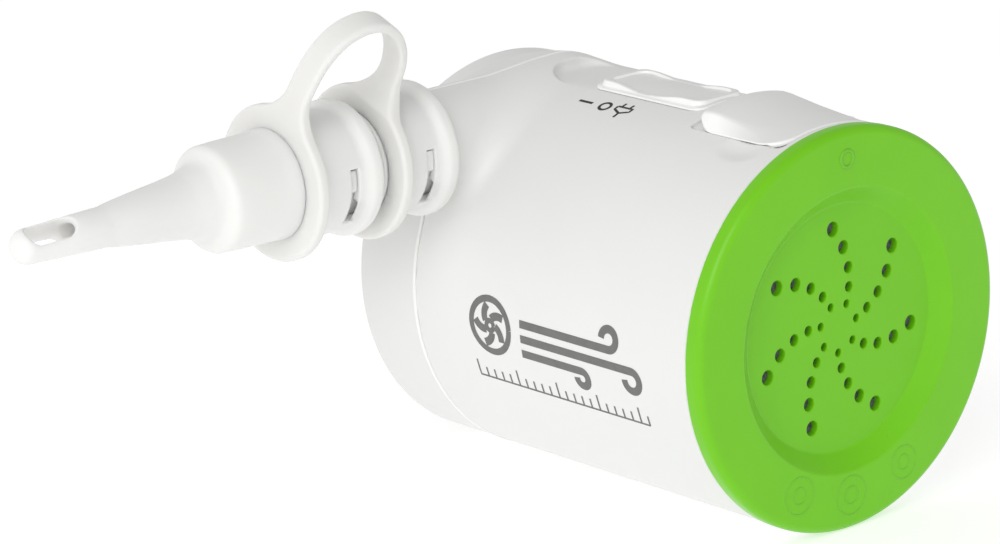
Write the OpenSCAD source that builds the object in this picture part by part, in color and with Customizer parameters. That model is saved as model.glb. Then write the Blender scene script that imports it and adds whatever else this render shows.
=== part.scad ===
// Rechargeable hand-held air mattress pump with two bayonet nozzles on a tether.
// The pump axis runs along X: the green air inlet faces +X and the nozzles point to -Y.

/* [Body] */
// Outside radius of the round body
body_r = 42.8; // [42.6:0.1:43]
// Radius of the green inlet cover's rim
cover_r = 43; // [42.9:0.05:43.2]
// Length from the inlet face to the rear face
body_l = 107; // [105:1:112]
// Wall thickness of both shells
wall = 2; // [1.8:0.1:2.2]
// Distance from the inlet face to the seam between the shells
seam_s = 88; // [87:0.5:89]
// Rounding of the rear edge
rear_round = 1.2; // [0.8:0.2:4]

/* [Outlet] */
// Height of the outlet above the pump axis
outlet_h = 32.5; // [32:0.1:33]
// Outside radius of the outlet collar
collar_r = 11.3; // [11.1:0.1:11.6]
// Distance from the pump axis to the end of the outlet collar
collar_l = 40; // [40:0.1:40.4]
// Inside radius of the air passage
duct_r = 7.8; // [7.4:0.1:7.8]

/* [Nozzles] */
// Outside radius of a bayonet skirt
skirt_r = 13; // [12.8:0.1:13.2]
// Radius of the rim at the open end of a skirt
rim_r = 14.6; // [14.2:0.1:14.8]
// Radius of the bayonet spigots
spigot_r = 10.9; // [10.7:0.1:10.9]
// Radial gap between a spigot and the skirt round it
spigot_fit = 0.1; // [0.05:0.01:0.1]
// Radius of the plug barrel that fits a wide valve
barrel_r = 11.5; // [11.3:0.1:11.6]
// Radius of the straight part that fits a narrow valve
tip_fit_r = 4.2; // [4:0.1:4.3]
// Distance from the pump axis to the tip
tip_l = 145; // [144:0.5:147]
// Turn between the locked and the released place of a bayonet, in degrees
bayonet_turn = 36; // [32:1:42]

/* [Switch and port] */
// Travel of the sliding switch, over its three places
switch_travel = 11.6; // [10:0.2:12]
// Height of the knob's highest point above the pump axis
knob_top = 43.9; // [43.7:0.1:44.4]
// Radius of the port cover's highest point
flap_top_r = 45.6; // [45.2:0.1:46]

/* [Blower] */
// Radius of the impeller
impeller_r = 26; // [24:0.5:26]
// Number of impeller blades
blades = 9; // [7:1:11]
// Radius of the motor can
motor_r = 14; // [13.8:0.1:14.2]

/* [Hidden] */
$fn = 96;
eps = 0.01;

// Body stations, measured along the pump axis from the inlet face
seam_x = -seam_s;
rear_x = -body_l;
in_r = body_r - wall;
face_mark_h = 0.3;
cover_t = 4;
lap_l = 3;
lap_gap = 0.1;

// Outlet and nozzle stations, measured from the pump axis towards the tip
spigot_end = 52;
lug_s = 46.4;
lug_t = 1.8;
lug_r = 12.3;
lug_low = -9;
lug_arc = 20;
slot_gap = 3;
skirt_l = 14.3;
adaptor_s = 40.7;
adaptor_front = 72;
tip_s = 61.3;
ring_r = 16.7;
ring_t = 2.7;
seat_r = 11.05;
ring_in_r = 11.35;
adaptor_ring_s = 55.1;
tip_ring_s = 77.6;
barrel_s = 80.7;
slot_len = 11;
slot_half = 2.5;
slot_a = 60;

// Tether loop, as distance from the pump axis and distance from the nozzle axis
loop_angle = 68;
strap_w = 6.5;
strap_t = 2;
strap_rise = [[-78.9, 14.5], [-77.6, 25], [-74.5, 34.8], [-64.5, 35.7]];
strap_fall = [[-64.5, 35.7], [-55.8, 36.5], [-48.6, 24.5], [-56.4, 14.5]];

// Blower
lid_x = -79.5;
lid_t = 2;
case_back = 1.6;
case_x = rear_x + wall + 0.2;
tongue_a = 32;
tongue_r = 28.2;
scroll_end_r = 37.2;
scroll_wall = 1.6;
case_r = 40.4;
screw_ring_r = 36.4;
screw_angles = [62, 100, 140, 222];
screw_r = 1.3;
boss_r = 3;
boss_x = -62;

// Motor
motor_x = -70;
motor_l = 37;
shaft_r = 1.15;
bush_r = 3;
bush_fit = 0.05;

// Battery
cell_r = 9.1;
cell_l = 65;
cell_x = -76;
cell_y = 9.6;
cell_z = -29.3;

// Circuit board
board_z = 31;
board_t = 1.6;
board_x = -70;
board_l = 58;
board_w = 34;
post_in = 4;

// Switch: a flat on top of the body carries the knob
flat_z = 42.1;
knob_gap = 0.3;
knob_x = -68.3;
knob_l = 33;
knob_w = 16;
pad_in = 0.9;
pad_w = 12.4;
valley = 0.8;
stem_x = -51;
stem_l = 5;
stem_w = 3.4;

// Port cover and its hinge
flap_x0 = -32.2;
flap_x1 = -5.8;
flap_a0 = -19.2;
flap_a1 = 15.5;
flap_round = 8;
flap_edge = body_r * sin(flap_a0);
flap_floor_r = 41.8;
// How far the round corners reach past the end faces, so that they cross them
corner_over = 0.3;
hinge_r = 41.2;
hinge_a = 19.5;
hinge_x0 = -30;
hinge_x1 = -12;
pin_r = 0.7;
pin_fit = 0.06;
socket_x = -19;

// The frame's origin is under the middle of the whole pump, on the surface it lies on
mid_x = (body_l - face_mark_h) / 2;
mid_y = (tip_l - cover_r) / 2;

// Places a shape drawn about the pump axis and the inlet face into the frame
module placed() {
  translate([mid_x, mid_y, cover_r]) children();
}

// Turns a shape drawn along Z so that it runs along +X, with the drawing's x to +Y and y to +Z
module along_x(x) {
  translate([x, 0, 0]) rotate([90, 0, 90]) children();
}

// Turns a shape drawn along Z so that it runs along the nozzle axis, towards the tip
module along_nozzle(s = 0) {
  translate([seam_x, -s, outlet_h]) rotate([90, 0, 0]) children();
}

// A ring round the current Z axis
module tube(h, r_out, r_in) {
  difference() {
    cylinder(h = h, r = r_out);
    translate([0, 0, -1]) cylinder(h = h + 2, r = r_in);
  }
}

// A ring sector round the current Z axis, from angle a over the arc
module sector(h, r_out, r_in, a, arc) {
  rotate([0, 0, a]) rotate_extrude(angle = arc) translate([r_in, 0]) square([r_out - r_in, h]);
}

// Places children at a radius and an angle from the top, positive towards the nozzle side
module from_top(r, a) {
  translate([0, -r * sin(a), r * cos(a)]) children();
}

// A ring sector round the pump axis, between two angles from the top towards +Y
module top_sector(x0, x1, r_out, r_in, a0, a1) {
  along_x(x0) sector(x1 - x0, r_out, r_in, 90 - a1, a1 - a0);
}

// ---------- Shells ----------

// Round-ended outlet duct: a bore along the nozzle axis, closed by a dome over the pump axis
module duct(r, l) {
  along_nozzle() cylinder(h = l, r = r);
  along_nozzle() sphere(r = r);
}

// Solid outline of both shells, the outlet collar included
module shell_outline() {
  union() {
    along_x(rear_x) rotate_extrude() polygon(concat(
      [[0, 0], [body_r - rear_round, 0]],
      [for (i = [1:8]) let (a = i * 90 / 9)
        [body_r - rear_round + rear_round * sin(a), rear_round - rear_round * cos(a)]],
      [[body_r, rear_round], [body_r, body_l - cover_t], [0, body_l - cover_t]]));
    duct(collar_r, collar_l);
  }
}

// Everything that is empty inside both shells
module shell_inside() {
  along_x(rear_x + wall) cylinder(h = body_l, r = in_r);
  duct(duct_r + 1.6, collar_l + 1);
  along_nozzle(33.9) cylinder(h = 2.2, r = duct_r + 2.6);
}

// Half-space in front of a plane across the pump axis
module ahead_of(x) {
  translate([x, -100, -100]) cube([200, 200, 200]);
}

// The lap joint: a thin ring of the rear cover sits inside the front housing
module lap_ring(grow) {
  along_x(seam_x - 1) tube(lap_l + 1 + grow, in_r + wall / 2 + grow, in_r - 1);
}

// Flat ledge on top of the body, as long as the knob and its travel
module switch_flat() {
  translate([knob_x - switch_travel - 1.8, -knob_w, flat_z])
    cube([knob_l + switch_travel + 3.4, 2 * knob_w, 10]);
}

module screw_boss_front(a) {
  along_x(boss_x - 15.5 + eps) from_top_2d(a) cylinder(h = 15.5, r = boss_r + 0.2);
  along_x(boss_x - 15.5 + eps) rotate([0, 0, 90 + a])
    translate([screw_ring_r, -1, 0]) cube([in_r - screw_ring_r + 0.5, 2, 15.5]);
}

// Places children in the plane across the pump axis, at a screw's place
module from_top_2d(a) {
  translate([-screw_ring_r * sin(a), screw_ring_r * cos(a), 0]) children();
}

module board_post(x, y) {
  translate([x, y, board_z + board_t]) cylinder(h = 7, r = 2.4);
}

module front_housing() color("#e6e7e2") placed() difference() {
  union() {
    intersection() {
      difference() {
        shell_outline();
        shell_inside();
      }
      ahead_of(seam_x);
    }
    for (a = screw_angles) screw_boss_front(a);
    // Floor of the hinge pocket and of the port
    intersection() {
      top_sector(-34.5, -9.3, body_r - 0.5, 37.6, 11, 26);
      ahead_of(-40);
    }
    intersection() {
      along_x(-90) cylinder(h = 90, r = body_r - 1);
      for (x = [board_x + post_in, board_x + board_l - post_in], y = [-1, 1])
        board_post(x, y * (board_w / 2 - post_in));
    }
  }
  lap_ring(lap_gap);
  switch_flat();
  // Slot for the knob's stem
  translate([stem_x - switch_travel - stem_l / 2 - 0.5, -stem_w / 2 - 0.4, 30])
    cube([switch_travel + stem_l + 1, stem_w + 0.8, 20]);
  // Pocket of the port cover
  top_sector(flap_x0 - 0.3, flap_x1 + 0.3, body_r + 5, flap_floor_r, flap_a0 - 0.6, flap_a1 + 1);
  top_sector(hinge_x0 - 0.4, hinge_x1 + 0.4, body_r + 5, 39.2, 13.8, 25);
  // Port that the charging plug goes through
  translate([socket_x - 6, -2.6, 30]) cube([12, 5.2, 20]);
  // Fingernail scoop
  translate([-14.5, 0, 0]) from_top(body_r + 7.25, 21.8) sphere(r = 8);
  // Holes for the hinge pin, the screws and the board
  along_x(-34) translate([hinge_r * sin(hinge_a), hinge_r * cos(hinge_a), 0])
    cylinder(h = 24.6, r = pin_r);
  along_x(boss_x - 20) for (a = screw_angles) from_top_2d(a) cylinder(h = 19, r = screw_r);
  for (x = [board_x + post_in, board_x + board_l - post_in], y = [-1, 1])
    translate([x, y * (board_w / 2 - post_in), 30]) cylinder(h = 6.5, r = 1);
}

module rear_cover() color("#e3e4df") placed() difference() {
  union() {
    difference() {
      shell_outline();
      shell_inside();
      ahead_of(seam_x);
    }
    difference() {
      along_x(seam_x - 1) tube(lap_l + 1, in_r + wall / 2 - lap_gap / 2, in_r);
      along_nozzle() cylinder(h = collar_l, r = collar_r + 1);
      along_nozzle() sphere(r = collar_r + 1);
    }
  }
  for (a = screw_angles) along_x(rear_x - 1) from_top_2d(a) {
    cylinder(h = 10, r = screw_r + 0.2);
    cylinder(h = 2, r = 2.6);
  }
}

// ---------- Inlet ----------

hole_rows = [[5.3, 0, 0.85], [8.8, 6.25, 1.07], [12.8, 13.5, 1.2], [17.05, 21.7, 1.4], [21.45, 30.9, 1.55]];
arms = 7;
arm_start = 62.15;
dish_r = 26.5;
dish_depth = 3.3;
ramp_r = 30.3;
clip_r = 40.6;

module inlet_cover() color("#76c52e") placed() difference() {
  union() {
    along_x(0) rotate_extrude() polygon(concat(
      [[0, -dish_depth], [dish_r, -dish_depth], [ramp_r, 0]],
      [for (i = [0:6]) let (a = i * 15) [cover_r - 2 + 2 * sin(a), -2 + 2 * cos(a)]],
      [[cover_r, -cover_t], [clip_r, -cover_t], [clip_r, -8.6], [38.8, -8.6], [38.8, -cover_t],
       [32.8, -cover_t], [32.8, -8.8], [31.3, -8.8], [31.3, -5.1], [0, -5.1]]));
    // Raised ring that marks the top
    along_x(-eps) translate([0, 36.7, 0]) tube(face_mark_h + eps, 1.75, 1.15);
  }
  for (arm = [0:arms - 1], row = hole_rows)
    let (a = arm_start + arm * 360 / arms + row[1])
      along_x(-9) translate([row[0] * cos(a), row[0] * sin(a), 0]) cylinder(h = 10, r = row[2]);
}

module inlet_filter() color("#4a4d50") placed()
  along_x(-8.1) cylinder(h = 3, r = 31.1);

module cover_screws() color("#8d9093") placed()
  for (a = screw_angles) along_x(rear_x) from_top_2d(a) {
    translate([0, 0, 0.1]) cylinder(h = 0.9, r = 2.4);
    translate([0, 0, 0.5]) cylinder(h = boss_x - rear_x - 3, r = screw_r);
  }

// ---------- Blower ----------

// Radius of the scroll at an angle from the top, growing the way the air turns
function scroll_r(a) = tongue_r + (scroll_end_r - tongue_r) * (a - tongue_a) / (360 - tongue_a);

module scroll_shape(extra) {
  polygon([for (i = [0:60]) let (a = tongue_a + i * (360 - tongue_a) / 60)
    [-(scroll_r(a) + extra) * sin(a), (scroll_r(a) + extra) * cos(a)]]);
}

module scroll_case() color("#c9ccca") placed() difference() {
  union() {
    intersection() {
      along_x(case_x) cylinder(h = lid_x - case_x, r = case_r);
      union() {
        along_x(case_x) linear_extrude(lid_x - case_x) scroll_shape(scroll_wall);
        along_x(case_x) linear_extrude(lid_x - case_x)
          polygon([[1, 23], [1, 38.8], [-12, 37], [-22, 32], [-22, 15], [-14, 20]]);
        for (a = screw_angles) along_x(case_x) {
          from_top_2d(a) cylinder(h = lid_x - case_x, r = boss_r);
          rotate([0, 0, 90 + a]) translate([tongue_r + 1, -1, 0])
            cube([screw_ring_r - tongue_r, 2, lid_x - case_x]);
        }
      }
    }
    duct(duct_r + 1.4, 22);
  }
  along_x(case_x + case_back) linear_extrude(lid_x - case_x) scroll_shape(0);
  along_x(case_x + case_back) cylinder(h = 40, r = tongue_r - 0.6);
  duct(duct_r, 23);
  for (a = screw_angles) along_x(case_x - 1) from_top_2d(a) cylinder(h = 30, r = screw_r + 0.1);
}

module scroll_lid() color("#c9ccca") placed() difference() {
  union() {
    along_x(lid_x) cylinder(h = lid_t, r = case_r - 0.1);
    along_x(motor_x - 2) cylinder(h = 2, r = 14.6);
    for (a = [90, 210, 330]) along_x(lid_x) rotate([0, 0, a]) {
      translate([18.4, -3, 0]) cube([3.6, 6, motor_x - lid_x]);
      translate([12, -3, motor_x - lid_x - 2]) cube([10, 6, 2]);
    }
  }
  along_x(lid_x - 1) cylinder(h = 4, r = 17.5);
  along_x(motor_x - 3) cylinder(h = 4, r = 5.2);
  for (y = [-8, 8]) along_x(motor_x - 3) translate([y, 0, 0]) cylinder(h = 4, r = 1.4);
  for (a = screw_angles) along_x(lid_x - 1) from_top_2d(a) cylinder(h = 4, r = screw_r + 0.2);
  // Room for the outlet duct's dome
  duct(duct_r + 1.6, collar_l);
}

// One backward-curved blade, from the eye to the rim, drawn in the plane across the pump axis
module blade() {
  inner_r = 10.5;
  steps = 8;
  polygon(concat(
    [for (i = [0:steps]) let (r = inner_r + (impeller_r - 0.4 - inner_r) * i / steps, a = -3 * (r - inner_r))
      [r * cos(a), r * sin(a)]],
    [for (i = [steps:-1:0]) let (r = inner_r + (impeller_r - 0.4 - inner_r) * i / steps,
      a = -3 * (r - inner_r) + 70 / r)
      [r * cos(a), r * sin(a)]]));
}

module impeller() color("#dfe0dc") placed() difference() {
  union() {
    along_x(-101) cylinder(h = 1.4, r = impeller_r);
    along_x(-101) cylinder(h = 13, r = 3.6);
    along_x(-83.4) tube(1.2, impeller_r, 16.5);
    for (i = [0:blades - 1]) along_x(-99.7) rotate([0, 0, i * 360 / blades])
      linear_extrude(16.4) blade();
  }
  along_x(-102) cylinder(h = 16, r = shaft_r);
}

// ---------- Motor ----------

module motor_shaft() color("#b9bcc0") placed()
  along_x(-101.5) cylinder(h = 70.5, r = shaft_r);

module motor_can() color("#c4c7ca") placed() difference() {
  union() {
    along_x(motor_x) cylinder(h = motor_l, r = motor_r);
    along_x(motor_x - 2) cylinder(h = 3, r = 5);
  }
  along_x(motor_x + 1.2) cylinder(h = motor_l, r = motor_r - 1);
  along_x(motor_x - 3) cylinder(h = 6, r = bush_r);
  for (y = [-8, 8]) along_x(motor_x - 1) translate([y, 0, 0]) cylinder(h = 4, r = 1);
}

module motor_end_cap() color("#2b2d30") placed() difference() {
  union() {
    along_x(motor_x + motor_l) cylinder(h = 1.6, r = motor_r);
    along_x(motor_x + motor_l - 2) cylinder(h = 2.2, r = motor_r - 1.05);
    along_x(motor_x + motor_l) cylinder(h = 3.4, r = 5);
  }
  along_x(motor_x + motor_l - 4) cylinder(h = 10, r = bush_r);
  for (y = [-8, 8]) translate([motor_x + motor_l - 3, y - 0.3, -1.6]) cube([8, 0.6, 3.2]);
}

module motor_bushes() color("#a8793f") placed() {
  along_x(motor_x - 2) tube(3, bush_r, shaft_r + bush_fit);
  along_x(motor_x + motor_l - 1) tube(3, bush_r, shaft_r + bush_fit);
}

module motor_magnets() color("#3c3f43") placed()
  for (a = [20, 200]) along_x(-65) sector(24, motor_r - 1.05, 11, a, 140);

module motor_armature() color("#8f9498") placed() difference() {
  along_x(-62) linear_extrude(18) difference() {
    union() {
      circle(r = 4);
      for (i = [0:2]) rotate(i * 120) {
        translate([0, -1.8]) square([9.4, 3.6]);
        intersection() {
          circle(r = 10.4);
          difference() {
            translate([0, -9]) square([12, 18]);
            circle(r = 8.8);
          }
          polygon([[0, 0], [14, -20], [14, 20]]);
        }
      }
    }
  }
  along_x(-70) cylinder(h = 40, r = shaft_r);
}

module motor_windings() color("#a8552d") placed()
  for (i = [0:2]) along_x(-63) rotate([0, 0, i * 120]) difference() {
    translate([4.2, -3.2, 0]) cube([3.8, 6.4, 20]);
    translate([3, -1.8, 1]) cube([8, 3.6, 18]);
  }

module commutator() color("#b87333") placed()
  along_x(-40.5) tube(5, 2.8, shaft_r);

module motor_brushes() color("#b08a4a") placed()
  for (y = [-1, 1]) translate([-39.5, y * 3.3 - 0.25, -1.5]) cube([4.5, 0.5, 3]);

module motor_terminals() color("#c9a24e") placed()
  for (y = [-8, 8]) translate([motor_x + motor_l - 2, y - 0.3, -1.6]) cube([7.5, 0.6, 3.2]);

module motor_screws() color("#8d9093") placed()
  for (y = [-8, 8]) along_x(motor_x) translate([y, 0, 0]) {
    translate([0, 0, -3.6]) cylinder(h = 1.6, r = 2.2);
    translate([0, 0, -2]) cylinder(h = 3.4, r = 1);
  }

// ---------- Battery ----------

module battery_cells() color("#3d7ab8") placed()
  for (y = [-cell_y, cell_y]) along_x(cell_x) translate([y, cell_z, 0]) {
    cylinder(h = cell_l - 0.8, r = cell_r);
    cylinder(h = cell_l, r = 3);
  }

module battery_tray() color("#2f3236") placed() difference() {
  translate([cell_x + 0.1, -19.6, cell_z - 2]) cube([cell_l - 0.2, 39.2, 12.6]);
  for (y = [-cell_y, cell_y]) along_x(cell_x - 2) translate([y, cell_z, 0])
    cylinder(h = cell_l + 4, r = cell_r + 0.15);
  translate([cell_x - 2, -15, cell_z - 5]) cube([cell_l + 4, 30, 6.5]);
}

module battery_strips() color("#c3c6c8") placed() {
  translate([cell_x - 0.4, -14, cell_z - 3]) cube([0.4, 28, 6]);
  for (y = [-1, 1]) {
    translate([cell_x + cell_l, y * cell_y - 3, cell_z - 3]) cube([0.4, 6, 14.1]);
    translate([cell_x + cell_l - 4, y * cell_y - 3, cell_z + 10.7]) cube([4.4, 6, 0.4]);
  }
}

// A lead: straight round runs between corner points, with a ball at each corner
module lead(points, r) {
  for (p = points) translate(p) sphere(r = r * 1.15, $fn = 24);
  for (i = [0:len(points) - 2]) {
    d = points[i + 1] - points[i];
    l = norm(d);
    translate(points[i]) rotate([0, acos(d[2] / l), atan2(d[1], d[0])]) cylinder(h = l, r = r, $fn = 24);
  }
}

module battery_leads() color("#c23b32") placed() {
  x = -13.5;
  for (y = [-1, 1])
    lead([[x, y * 9.6, cell_z + 11.9], [x, y * 15.6, cell_z + 14], [x, y * 15.6, board_z - 0.8]], 0.7);
}

module motor_leads() color("#30333a") placed()
  for (y = [-1, 1])
    lead([[-29, y * 9.1, 0], [-29, y * 12, 6], [-29, y * 12, board_z - 0.8]], 0.7);

// ---------- Circuit board and switch ----------

module circuit_board() color("#2f6b3f") placed() difference() {
  translate([board_x, -board_w / 2, board_z]) cube([board_l, board_w, board_t]);
  for (x = [board_x + post_in, board_x + board_l - post_in], y = [-1, 1])
    translate([x, y * (board_w / 2 - post_in), board_z - 1]) cylinder(h = 4, r = 1.2);
}

module board_chips() color("#25272a") placed() {
  translate([-34, -5, board_z + board_t]) cube([5, 4, 1.2]);
  translate([-34, 3, board_z + board_t]) cube([5, 6, 1.6]);
  translate([-64, 7, board_z - 1.8]) cube([8, 6, 1.8]);
  translate([-44, -9, board_z - 3]) cube([6, 6, 3]);
}

module board_screws() color("#8d9093") placed()
  for (x = [board_x + post_in, board_x + board_l - post_in], y = [-1, 1])
    translate([x, y * (board_w / 2 - post_in), board_z]) {
      translate([0, 0, -1.3]) cylinder(h = 1.3, r = 2);
      cylinder(h = 5, r = 1);
    }

module charge_socket() color("#b5b8bb") placed() difference() {
  translate([socket_x - 4.5, -1.6, board_z + board_t]) cube([9, 3.2, 6.4]);
  translate([socket_x - 4.15, -1.25, board_z + board_t + 1]) cube([8.3, 2.5, 6.4]);
}

module charge_lamp() color("#d9473a") placed() {
  translate([-27, -6, board_z + board_t]) cylinder(h = 1.2, r = 1.5);
  translate([-27, -6, board_z + board_t + 1.2]) sphere(r = 1.2);
}

module switch_body() color("#3a3d41") placed() difference() {
  translate([-66, -3.5, board_z + board_t]) cube([20, 7, 4]);
  translate([-64.6, -1.2, board_z + board_t + 1]) cube([17, 2.4, 5]);
}

// Nib of the slide switch that the clip under the knob drags along
module switch_lever() color("#202226") placed() {
  translate([stem_x - 1, -1, board_z + board_t + 1.3]) cube([2, 2, 5.3]);
}

// A plate with round corners, drawn flat
module round_plate(x0, x1, w, r) {
  translate([x0 + r, -w / 2]) square([x1 - x0 - 2 * r, w]);
  translate([x0, -w / 2 + r]) square([x1 - x0, w - 2 * r]);
  for (x = [x0 + r, x1 - r], y = [-1, 1]) translate([x, y * (w / 2 - r)]) circle(r = r);
}

// Side view of the knob's pad: two raised ends and a valley, from one end to the other
function pad_outline(x0, x1, top, floor) = [
  [x0, floor], [x0, top - 0.6], [x0 + 1, top], [x0 + 5, top], [x0 + 11.5, top - valley],
  [x0 + 18.5, top - valley], [x1 - 6, top], [x1 - 1, top], [x1, top - 0.6], [x1, floor]];

module switch_knob() color("#eceded") placed() {
  knob_z = flat_z + knob_gap;
  knob_end = knob_x + knob_l;
  translate([0, 0, knob_z]) linear_extrude(0.6) round_plate(knob_x, knob_end, knob_w, 2.4);
  difference() {
    intersection() {
      translate([0, pad_w / 2 + 1, 0]) rotate([90, 0, 0]) linear_extrude(pad_w + 2)
        polygon(pad_outline(knob_x + pad_in, knob_end - pad_in, knob_top, knob_z + 0.3));
      translate([0, 0, knob_z]) linear_extrude(5)
        round_plate(knob_x + pad_in, knob_end - pad_in, pad_w, 2.2);
    }
    // Dish for the thumb, and the pointer notch in its near side
    translate([0, pad_w / 2 - 1.3, 0]) rotate([90, 0, 0]) linear_extrude(pad_w - 2.6)
      polygon(pad_outline(knob_x + pad_in + 1.3, knob_end - pad_in - 1.3, knob_top + 2, knob_top - 0.4));
    translate([-55.2, -pad_w / 2 - 1, knob_z + 0.2]) cube([3.6, 2.6, 6]);
  }
  translate([stem_x - stem_l / 2, -stem_w / 2, 39.2]) cube([stem_l, stem_w, knob_z - 39.2 + eps]);
}

// Clip that holds the knob from inside and drags the switch lever
module switch_clip() color("#cfd1ce") placed() difference() {
  translate([stem_x - 6, -5.5, 38]) cube([12, 11, 1.2]);
  translate([stem_x - 1.15, -1.15, 37]) cube([2.3, 2.3, 3]);
}

// ---------- Port cover ----------

// Outline of the port cover's hump, as radius and distance along the pump axis
function flap_outline(r) = [
  [42.1, flap_x0], [43.4, flap_x0], [r - 0.8, flap_x0 + 1.2], [r - 0.2, flap_x0 + 2.6], [r, flap_x0 + 4.4],
  [r - 0.1, flap_x0 + 6.4], [r - 0.6, flap_x0 + 9.4], [r - 1.4, flap_x0 + 14.4], [r - 2.1, flap_x0 + 20.4],
  [42.85, flap_x1], [42.1, flap_x1]];
function flap_hollow(r) = [
  [41, flap_x0 + 1.8], [42.9, flap_x0 + 1.8], [r - 1.8, flap_x0 + 4.4], [r - 2.3, flap_x0 + 9.4],
  [r - 2.9, flap_x0 + 14.4], [42.2, flap_x0 + 18], [41, flap_x0 + 18]];

// A point across the pump axis, from its radius and its angle from the top towards +Y
function polar(r, a) = [r * sin(a), r * cos(a)];

// What is cut away beyond a leaning side through two points, as far out as y
function lean(p, q, y) = lean_between(p - 0.3 * (q - p), p + 3 * (q - p), y);
function lean_between(low, high, y) = [low, high, [y, high[1]], [y, low[1]]];

module port_cover() color("#eceded") placed() difference() {
  union() {
    difference() {
      along_x(0) rotate([0, 0, 90 - flap_a1]) rotate_extrude(angle = flap_a1 - flap_a0)
        polygon(flap_outline(flap_top_r));
      // Hollow underside
      along_x(0) rotate([0, 0, 90 - flap_a1 + 2.2]) rotate_extrude(angle = flap_a1 - flap_a0 - 8.2)
        polygon(flap_hollow(flap_top_r));
      // Leaning sides, above a low lip
      along_x(flap_x0 - 1) linear_extrude(30) {
        polygon(lean(polar(43.1, flap_a0), polar(45.5, flap_a0 + 5), -20));
        polygon(lean(polar(43.1, flap_a1), polar(45.5, flap_a1 - 4), 20));
      }
      // Round corners on the side that opens, each as its end face, which way is inwards and its radius
      translate([0, 0, 30]) for (corner = [[flap_x0, 1, flap_round], [flap_x1, -1, flap_round - 2]]) {
        r = corner[2];
        inner = corner[0] + corner[1] * r;
        linear_extrude(20) difference() {
          translate([corner[1] > 0 ? inner - r - 1 : inner, flap_edge - 3]) square([r + 1, r + 3]);
          translate([inner, flap_edge + r]) circle(r = r + corner_over);
        }
      }
    }
    // Knuckle and its web
    along_x(hinge_x0) translate(polar(hinge_r, hinge_a))
      cylinder(h = hinge_x1 - hinge_x0, r = 1.45);
    along_x(hinge_x0) linear_extrude(hinge_x1 - hinge_x0) polygon([
      polar(42.25, 13.5), polar(43.4, 13.5), polar(43.2, 16),
      polar(hinge_r, hinge_a) + [0.8, 1.1], polar(hinge_r, hinge_a) - [1.3, 0.5]]);
  }
  along_x(hinge_x0 - 1) translate(polar(hinge_r, hinge_a))
    cylinder(h = 30, r = pin_r + pin_fit);
}

module port_cover_pin() color("#a5a8ab") placed()
  along_x(-33.6) translate([hinge_r * sin(hinge_a), hinge_r * cos(hinge_a), 0])
    cylinder(h = 24, r = pin_r);

// ---------- Nozzles ----------

// The two bayonet lugs of a spigot, at a distance along the nozzle axis
module lugs(s) {
  for (turn = [0, 180])
    along_nozzle(s) sector(lug_t, lug_r, spigot_r - 1, lug_low + turn, lug_arc);
}

// The two L-shaped bayonet slots of a skirt whose open end is at a distance along the nozzle axis
module slots(s) {
  slot_low = lug_low - bayonet_turn - slot_gap;
  run = bayonet_turn + lug_arc + 2 * slot_gap;
  for (turn = [0, 180]) {
    along_nozzle(s + lug_s - adaptor_s - 0.4)
      sector(lug_t + 0.8, rim_r + 1, spigot_r - 0.5, slot_low + turn, run);
    along_nozzle(s - 1) sector(lug_s - adaptor_s + lug_t + 1, lug_r + 0.15, spigot_r - 0.5,
      slot_low + turn, lug_arc + 2 * slot_gap);
  }
}

module outlet_spigot() color("#e6e7e2") placed() {
  difference() {
    union() {
      along_nozzle(22.2) cylinder(h = collar_l - 22.2, r = duct_r + 1.4);
      along_nozzle(34) cylinder(h = 2, r = duct_r + 2.4);
      along_nozzle(collar_l) cylinder(h = spigot_end - collar_l, r = spigot_r);
    }
    along_nozzle(20) cylinder(h = 40, r = duct_r);
  }
  lugs(lug_s);
}

module nozzle_adaptor() color("#eceded") placed() {
  difference() {
    union() {
      along_nozzle(adaptor_s) cylinder(h = 3.8, r = rim_r);
      along_nozzle(adaptor_s) cylinder(h = skirt_l, r = skirt_r);
      along_nozzle(adaptor_s) cylinder(h = 17.4, r = seat_r);
      along_nozzle(58.1) cylinder(h = 0.9, r = 11.6);
      along_nozzle(58) cylinder(h = adaptor_front - 58, r = spigot_r);
    }
    along_nozzle(adaptor_s - 1) cylinder(h = spigot_end + 1 - adaptor_s + 0.4, r = spigot_r + spigot_fit);
    along_nozzle(40) cylinder(h = 40, r = 8.8);
    slots(adaptor_s);
  }
  lugs(lug_s + tip_s - adaptor_s);
}

// Outline of the tip nozzle's outside, as radius and distance from the pump axis
tip_outline = concat(
  [[8, 75], [seat_r, 75], [seat_r, barrel_s], [11.9, barrel_s], [barrel_r, 84], [barrel_r, 92]],
  [for (i = [0:5]) let (a = i * 18) [8.6 + 2.6 * cos(a), 95.4 + 2.6 * sin(a)]],
  [[7.6, 100.5], [6.6, 104], [5.9, 111], [4.6, 121.5], [tip_fit_r, 123.5], [tip_fit_r, 129.5],
   [4, 132], [3.7, tip_l - 3]],
  [for (i = [1:6]) let (a = i * 15) [0.7 + 3 * cos(a), tip_l - 3 + 3 * sin(a)]],
  [[0, tip_l], [0, 75]]);

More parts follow.
